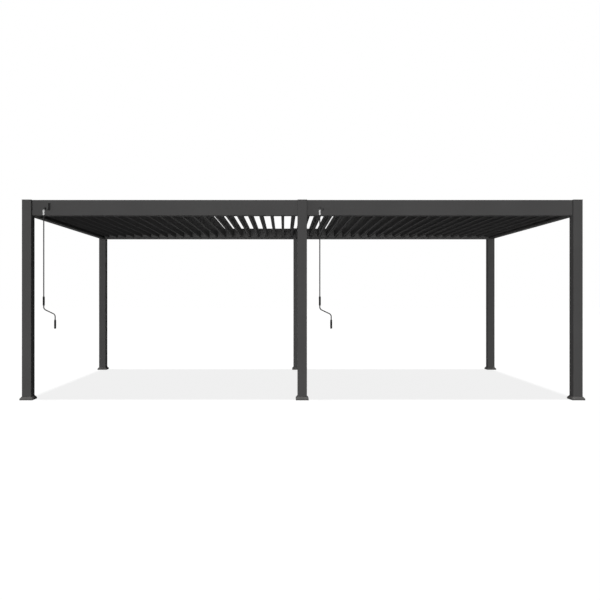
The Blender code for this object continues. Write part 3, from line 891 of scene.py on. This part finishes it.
def ferrule_profile(foot):
    """A short ring with bevelled edges, as (radius, height) points."""
    top = foot + FERRULE_HEIGHT
    end_radius = FERRULE_RADIUS - TURNED_EDGE
    return [(0.0, foot), (end_radius, foot), (FERRULE_RADIUS, foot + TURNED_EDGE),
            (FERRULE_RADIUS, top - TURNED_EDGE), (end_radius, top), (0.0, top)]


def make_rod(bay):
    """A crank's spindle, two ferrules and bent rod, as one piece."""
    axis = crank_axes[bay]
    upright = Matrix.Translation((axis.x, axis.y, 0.0))
    turns = [(0.0, JOINT_FOOT + ROD_LAP), (0.0, JOG[1]), (throw, JOG[0]),
             (throw, LOWER_SLEEVE[0] + ROD_LAP)]
    corners = [Vector((axis.x + x, axis.y, z)) for x, z in turns]
    bm = bmesh.new()
    sweep(bm, rounded_path(corners, JOG_RADIUS, BEND_STEPS), ROD_RADIUS)
    lathe(bm, spindle, upright)
    for foot in (JOINT_FOOT, joint_top - FERRULE_HEIGHT):
        lathe(bm, ferrule_profile(foot), upright, sides=24)
    rod = make_piece(bm, f"crank_rod_{bay}", f"crank_{bay}", dark_steel)
    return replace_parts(rod, f"crank_{bay}")


rods = [make_rod(bay) for bay in BAYS]
print("rods:", [rod.name for rod in rods])

# %% [markdown]
# ## Sleeves and joints
#
# The sleeves are turned profiles with shallow rings for the fingers. The joint is two egg-shaped
# halves between the rod's two ferrules. They meet at a waist, and cross pins hold them together.
# The joint throws no shadow: the lamps are so much smaller than a real studio's light that it
# would stand as a black bar on the beam behind, where the photograph has a faint smudge.

# %% The sleeves' profile
SLEEVE_END = [(0.0, 0.0), (0.0090, 0.0), (0.0108, 0.0012), (0.0118, 0.0045)]
SLEEVE_PLAIN_END = 0.010
SLEEVE_RINGS = 11
RING_DEPTH = 0.0008
RING_SHARE = 0.62
GROOVE_SHARES = (0.70, 0.92)


def sleeve_profile(foot, top):
    """A sleeve with rounded ends and shallow rings, as (radius, height) points."""
    first = foot + SLEEVE_PLAIN_END
    pitch = (top - SLEEVE_PLAIN_END - first) / SLEEVE_RINGS
    profile = [(radius, foot + up) for radius, up in SLEEVE_END]
    for k in range(SLEEVE_RINGS):
        start = first + k * pitch
        profile += [(SLEEVE_RADIUS, start), (SLEEVE_RADIUS, start + RING_SHARE * pitch)]
        profile += [(SLEEVE_RADIUS - RING_DEPTH, start + share * pitch) for share in GROOVE_SHARES]
    profile.append((SLEEVE_RADIUS, top - SLEEVE_PLAIN_END))
    return profile + [(radius, top - up) for radius, up in reversed(SLEEVE_END)]


print("a sleeve's profile has", len(sleeve_profile(*UPPER_SLEEVE)), "points")

# %% The joints' profile
JOINT_HALF = [(0.0, 0.0), (0.0091, 0.0), (0.0104, 0.003), (0.0122, 0.008), (0.0130, 0.0125),
              (0.0130, 0.0235), (0.0124, 0.0310)]
JOINT_LIP_RADIUS = 0.0117
JOINT_LIP_FROM_MIDDLE = 0.0015
WAIST_RADIUS = 0.0098
WAIST_HALF = 0.0008


def joint_profile(foot, top):
    """Two rounded halves with a waist between them."""
    middle = (foot + top) / 2
    half = JOINT_HALF + [(JOINT_LIP_RADIUS, (top - foot) / 2 - JOINT_LIP_FROM_MIDDLE)]
    waist = [(WAIST_RADIUS, middle - WAIST_HALF), (WAIST_RADIUS, middle + WAIST_HALF)]
    lower = [(radius, foot + up) for radius, up in half]
    upper = [(radius, top - up) for radius, up in reversed(half)]
    return lower + waist + upper


print("a joint is", round(joint_top - JOINT_FOOT, 4), "m high with its ferrules")

# %% Turn the sleeves and the joints
JOINT_PIN = [(0.0, -0.0136), (0.0024, -0.0136), (0.0030, -0.0130), (0.0030, 0.0130),
             (0.0024, 0.0136), (0.0, 0.0136)]
PIN_FROM_MIDDLE = 0.016
FERRULE_LAP = 0.0004

joint_ends = (JOINT_FOOT + FERRULE_HEIGHT - FERRULE_LAP, joint_top - FERRULE_HEIGHT + FERRULE_LAP)
for bay in BAYS:
    x, y, _ = crank_axes[bay]
    bm = bmesh.new()
    lathe(bm, sleeve_profile(*UPPER_SLEEVE), Matrix.Translation((x, y, 0.0)), sides=24)
    lathe(bm, sleeve_profile(*LOWER_SLEEVE), Matrix.Translation((x + throw, y, 0.0)), sides=24)
    make_piece(bm, f"crank_sleeves_{bay}", f"crank_{bay}", black_rubber)
    bm = bmesh.new()
    lathe(bm, joint_profile(*joint_ends), Matrix.Translation((x, y, 0.0)), sides=24)
    for end in (-1, 1):
        spot = Vector((x, y, (JOINT_FOOT + joint_top) / 2 + end * PIN_FROM_MIDDLE))
        lathe(bm, JOINT_PIN, facing(spot, (0, 1, 0) if end > 0 else (1, 0, 0)), sides=12)
    joint = make_piece(bm, f"crank_joint_{bay}", f"crank_{bay}", cast_zinc)
    joint.visible_shadow = False
print("sleeves and joints on", len(BAYS), "cranks")

# %% [markdown]
# ## A clip on the left latch
#
# The left bay's latch is the tall one. A black spring clip sits on its left edge, and the rod
# snaps into it when the crank is put away. In plan the clip is an open hook, and it has that
# same outline over its whole height, so it is drawn once and pushed up.

# %% Bend the clip
LATCH_FROM_AXIS = 0.062
LATCH_HALF_WIDTH = 0.008
LATCH_FOOT = 2.439
LATCH_HEIGHT = 0.092
CLIP_INSET = 0.002
CLIP_OFF_BEAM = 0.0002
CLIP_OUTLINE = [(0.0010, 0.0), (0.0010, -0.0070), (-0.0085, -0.0070), (-0.0100, -0.0055),
                (-0.0100, -0.0030), (-0.0086, -0.0030), (-0.0086, -0.0050), (-0.0074, -0.0056),
                (-0.0006, -0.0056), (-0.0006, 0.0)]

latch_left_x = crank_axes["left"].x + LATCH_FROM_AXIS - LATCH_HALF_WIDTH
bm = bmesh.new()
clip_foot = LATCH_FOOT + CLIP_INSET
clip_back_y = beam_face_y - CLIP_OFF_BEAM
ring = [(latch_left_x + x, clip_back_y + y, clip_foot) for x, y in CLIP_OUTLINE]
pushed_outline(bm, ring, (0.0, 0.0, LATCH_HEIGHT - 2 * CLIP_INSET))
make_piece(bm, "latch_clip_left", "frame", black_rubber)
print("clip reaches", round(latch_left_x + min(x for x, y in CLIP_OUTLINE), 4))

# %% [markdown]
# ## Screws
#
# Two screws at each end hold every beam to its posts, and two small ones hold each bracket. A
# screw is a profile on the lathe: a domed head with a round recess for the key. On the front and
# rear beams the heads are flat and lie flush, because the blades' ends pass them closely. The
# places follow from the boxes of the beams.

# %% Drive the screws
PAN_HEAD = [(0.0, 0.0012), (0.0020, 0.0012), (0.0020, 0.0030), (0.0036, 0.0028), (0.0050, 0.0016),
            (0.0054, 0.0), (0.0, -0.0004)]
FLAT_HEAD = [(0.0, 0.0001), (0.0020, 0.0001), (0.0020, 0.0003), (0.0050, 0.0003), (0.0054, 0.0),
             (0.0, -0.0004)]
BEAM_SCREW_IN = 0.045
BEAM_SCREW_HEIGHTS = (0.055, 0.145)
SIDE_BEAM_WALL = 0.040
SMALL_SHARE = 0.6
SMALL_HEAD = [(SMALL_SHARE * radius, SMALL_SHARE * height) for radius, height in PAN_HEAD]
BRACKET_SCREW_OUT = 0.0215
BRACKET_PLATE_THICKNESS = 0.006
BRACKET_SCREW_HEIGHT = 2.4520

bm = bmesh.new()
for node in ("front_beam_left", "rear_beam_left", "front_beam_right", "rear_beam_right"):
    low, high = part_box(node)
    side = -1 if node.startswith("front") else 1
    for x in (low.x + BEAM_SCREW_IN, high.x - BEAM_SCREW_IN):
        for up in BEAM_SCREW_HEIGHTS:
            spot = Vector((x, side * wall_y, beam_foot + up))
            lathe(bm, FLAT_HEAD, facing(spot, (0, -side, 0)), sides=12)
for node, side in (("side_beam_left", -1), ("side_beam_right", 1)):
    low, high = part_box(node)
    wall_x = side * (max(abs(low.x), abs(high.x)) - SIDE_BEAM_WALL)
    for y in (low.y + BEAM_SCREW_IN, high.y - BEAM_SCREW_IN):
        for up in BEAM_SCREW_HEIGHTS:
            spot = Vector((wall_x, y, beam_foot + up))
            lathe(bm, PAN_HEAD, facing(spot, (-side, 0, 0)), sides=12)
make_piece(bm, "beam_screws", "frame", screw_zinc)

bm = bmesh.new()
for bay in BAYS:
    for x in (-BRACKET_SCREW_OUT, BRACKET_SCREW_OUT):
        spot = (crank_axes[bay].x + x, beam_face_y - BRACKET_PLATE_THICKNESS, BRACKET_SCREW_HEIGHT)
        lathe(bm, SMALL_HEAD, facing(spot, (0, -1, 0)), sides=12)
make_piece(bm, "bracket_screws", "frame", screw_zinc)
print("screws driven")

# %% [markdown]
# ## Seals around the posts
#
# Where the square column comes out of its foot cover, a thin rubber bead keeps rain out. Its
# black is partly painted shade: it draws the dark line where shade falls between column and
# cover. It is a small circle carried round a square with rounded corners. The sweep above can't
# make it, since this path turns in plan and closes on itself, so its rings of vertices are placed
# corner by corner. There is one for each post, and all six are one object.

# %% Lay the seals
BEAD_RADIUS = 0.0016
BEAD_SIDES = 8
BEAD_OFF_COLUMN = 0.0006
COLUMN_HALF = 0.060
COLUMN_CORNER = 0.003
CORNER_STEPS = 4

post_spots = [(side * abs(post_middle.x), end * abs(post_middle.y))
              for side in (-1, 0, 1) for end in (-1, 1)]
bm = bmesh.new()
for post_x, post_y in post_spots:
    rings = []
    for corner in range(4):
        for step in range(CORNER_STEPS + 1):
            turn = math.radians(90 * (corner + step / CORNER_STEPS))
            quarter = math.radians(90 * corner + 45)
            inner = COLUMN_HALF - COLUMN_CORNER
            hub = Vector((math.copysign(inner, math.cos(quarter)),
                          math.copysign(inner, math.sin(quarter)), 0.0))
            out = Vector((math.cos(turn), math.sin(turn), 0.0))
            spot = Vector((post_x, post_y, FOOT_COVER_TOP)) + hub
            spot += out * (COLUMN_CORNER + BEAD_OFF_COLUMN)
            rings.append([
                bm.verts.new(spot + BEAD_RADIUS * (out * math.cos(a) + Vector((0, 0, math.sin(a)))))
                for a in (2 * math.pi * k / BEAD_SIDES for k in range(BEAD_SIDES))
            ])
    for ring, following in zip(rings, rings[1:] + rings[:1]):
        for k in range(BEAD_SIDES):
            n = (k + 1) % BEAD_SIDES
            bm.faces.new((ring[k], following[k], following[n], ring[n]))
# A rubber seal whose black is also painted shade where the column meets its foot cover.
make_piece(bm, "post_seals_and_painted_shade", "frame", black_rubber)
print("seals around", len(post_spots), "posts")
